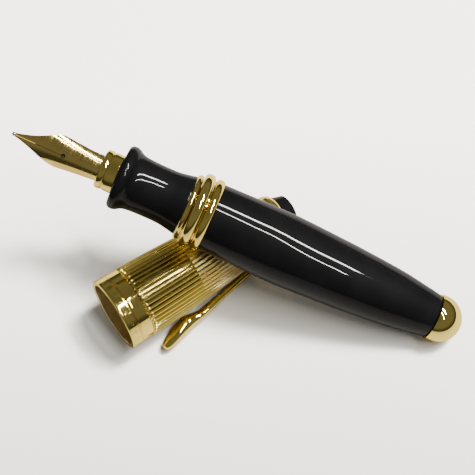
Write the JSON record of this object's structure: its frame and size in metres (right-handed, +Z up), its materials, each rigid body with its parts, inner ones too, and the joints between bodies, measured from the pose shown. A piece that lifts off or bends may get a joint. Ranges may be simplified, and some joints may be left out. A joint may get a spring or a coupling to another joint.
{
  "type": "fountain pen",
  "caption": "Short fountain pen lying uncapped: black tapered barrel with gold rings and ball end leaning across its fluted gold cap with leaf clip",
  "frame": {"origin": "middle of the footprint at floor level", "axes": "+X along the cap's floor line from mouth to finial, +Y the side the nib reaches over, +Z up"},
  "size_m": [0.0594, 0.076, 0.0381],
  "materials": {
    "cap_lip_band": "polished gold plate",
    "cap_shell": "polished gold plate with hatched flutes",
    "cap_liner": "satin",
    "clip_ring": "polished gold plate",
    "crown_ring": "polished gold plate",
    "finial": "polished",
    "finial_screw": "turned",
    "clip": "polished gold plate",
    "barrel": "polished",
    "barrel_bush": "turned",
    "rear_ring": "polished gold plate",
    "centre_ring": "polished gold plate",
    "front_ring": "polished gold plate",
    "tail_ball": "polished gold plate",
    "tail_stud": "turned",
    "section": "polished",
    "section_sleeve": "turned",
    "converter_tank": "clear",
    "converter_collar": "polished",
    "converter_knob": "satin",
    "piston_rod": "turned",
    "piston_head": "satin",
    "piston_seal": "matt",
    "nib_collar": "polished gold plate",
    "nib": "polished gold plate",
    "nib_tip": "polished",
    "feed": "satin"
  },
  "bodies": {
    "cap": {"cap_shell": "cap_shell", "cap_lip_band": "cap_lip_band", "cap_liner": "cap_liner", "clip_ring": "clip_ring", "crown_ring": "crown_ring", "finial": "finial", "finial_screw": "finial_screw"},
    "clip": {"clip": "clip"},
    "barrel": {"barrel": "barrel", "barrel_bush": "barrel_bush", "rear_ring": "rear_ring", "tail_ball": "tail_ball", "tail_stud": "tail_stud"},
    "centre_ring": {"centre_ring": "centre_ring"},
    "front_ring": {"front_ring": "front_ring"},
    "section": {"section": "section", "section_sleeve": "section_sleeve", "converter_tank": "converter_tank", "converter_collar": "converter_collar"},
    "knob": {"converter_knob": "converter_knob"},
    "piston": {"piston_rod": "piston_rod", "piston_head": "piston_head", "piston_seal": "piston_seal"},
    "nib_unit": {"nib_collar": "nib_collar", "nib": "nib", "nib_tip": "nib_tip", "feed": "feed"}
  },
  "joints": [
    {"name": "clip_flex", "type": "hinge", "parent": "cap", "child": "clip", "pos_m": [0.01116, 0.00207, 0.00243], "axis": [0.0697, -0.5878, 0.806], "range_deg": [0, 3], "stiffness_Nm_per_rad": 1.2},
    {"name": "pen_lift", "type": "slide", "parent": "cap", "child": "barrel", "axis": [0, 0, 1], "range_m": [0, 0.06]},
    {"name": "thread_travel", "type": "slide", "parent": "barrel", "child": "centre_ring", "axis": [-0.5365, 0.776, 0.3315], "range_m": [0, 0.01]},
    {"name": "section_withdrawal", "type": "slide", "parent": "centre_ring", "child": "front_ring", "axis": [-0.5365, 0.776, 0.3315], "range_m": [0, 0.036]},
    {"name": "section_unscrew", "type": "hinge", "parent": "front_ring", "child": "section", "pos_m": [-0.00639, 0.01196, 0.02418], "axis": [-0.5365, 0.776, 0.3315], "range_deg": [0, 1800]},
    {"name": "converter_knob_turn", "type": "hinge", "parent": "section", "child": "knob", "pos_m": [0.00971, -0.01132, 0.01423], "axis": [-0.5365, 0.776, 0.3315], "range_deg": [0, 2880]},
    {"name": "piston_travel", "type": "slide", "parent": "section", "child": "piston", "axis": [-0.5365, 0.776, 0.3315], "range_m": [0, 0.012]},
    {"name": "nib_unit_pull", "type": "slide", "parent": "section", "child": "nib_unit", "axis": [-0.5365, 0.776, 0.3315], "range_m": [0, 0.012]}
  ],
  "couplings": [
    {"joint": "section_unscrew", "follows": "thread_travel", "rad_per_m": 3141.6},
    {"joint": "converter_knob_turn", "follows": "piston_travel", "rad_per_m": 4188.8}
  ]
}
